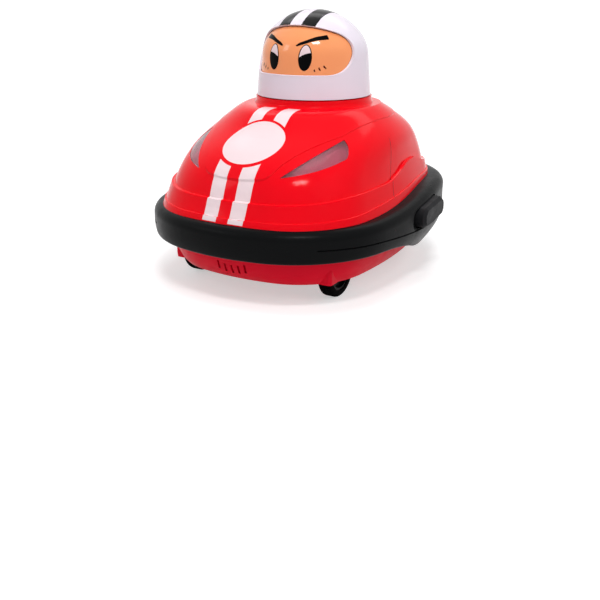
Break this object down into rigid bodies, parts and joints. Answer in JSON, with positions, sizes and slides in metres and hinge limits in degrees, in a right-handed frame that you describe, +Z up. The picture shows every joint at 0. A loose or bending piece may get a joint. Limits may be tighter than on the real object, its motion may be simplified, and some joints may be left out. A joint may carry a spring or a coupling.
{
  "type": "toy bumper car",
  "caption": "Small round toy bumper car with a wrap-around black bumper, side buttons, headlamps, a swivelling rear caster and a helmeted driver figure that lifts off.",
  "frame": {"origin": "on the floor under the middle of the bumper's outline", "axes": "+Z up, the front faces -Y, +X is the car's left side, x = 0 is the plane of symmetry"},
  "size_m": [0.1454, 0.1654, 0.132],
  "materials": {
    "red_gloss": "gloss",
    "red_satin": "satin",
    "black_bumper": "satin",
    "black_button": "satin",
    "smoke_lens": "clear smoke",
    "lamp_silver": "metallised",
    "cup_black": "satin",
    "drive_grey": "satin",
    "battery_blue": "satin",
    "hub_black": "gloss",
    "tyre_black": "matte",
    "steel": "satin",
    "caster_plastic": "satin",
    "helmet_white": "gloss",
    "face_orange": "gloss"
  },
  "bodies": {
    "chassis": {"upper_shell": "red_gloss", "lower_shell": "red_satin", "bumper": "black_bumper", "impact_button_left": "black_button", "impact_button_right": "black_button", "headlamp_lens_left": "smoke_lens", "headlamp_lens_right": "smoke_lens", "headlamp_tray_left": "lamp_silver", "headlamp_tray_right": "lamp_silver", "driver_cup": "cup_black", "drive_unit": "drive_grey", "battery_pack": "battery_blue", "battery_door": "red_satin", "power_switch": "black_button"},
    "wheel_left": {"wheel_hub_left": "hub_black", "wheel_tyre_left": "tyre_black"},
    "wheel_right": {"wheel_hub_right": "hub_black", "wheel_tyre_right": "tyre_black"},
    "caster_swivel": {"caster_fork": "hub_black", "caster_axle": "steel"},
    "caster_roller": {"caster_wheel": "caster_plastic"},
    "driver": {"driver_helmet": "helmet_white", "driver_face": "face_orange", "driver_plug": "cup_black"}
  },
  "joints": [
    {"name": "wheel_left_spin", "type": "hinge", "parent": "chassis", "child": "wheel_left", "pos_m": [0.0404, -0.0391, 0.0135], "axis": [1, 0, 0], "continuous": true},
    {"name": "wheel_right_spin", "type": "hinge", "parent": "chassis", "child": "wheel_right", "pos_m": [-0.0404, -0.0391, 0.0135], "axis": [1, 0, 0], "continuous": true},
    {"name": "caster_swivel_turn", "type": "hinge", "parent": "chassis", "child": "caster_swivel", "pos_m": [0, 0.0434, 0.0176], "axis": [0, 0, 1], "continuous": true},
    {"name": "caster_roller_spin", "type": "hinge", "parent": "caster_swivel", "child": "caster_roller", "pos_m": [0, 0.0474, 0.007], "axis": [1, 0, 0], "continuous": true},
    {"name": "driver_eject", "type": "slide", "parent": "chassis", "child": "driver", "axis": [0, 0, 1], "range_m": [0, 0.03]}
  ]
}
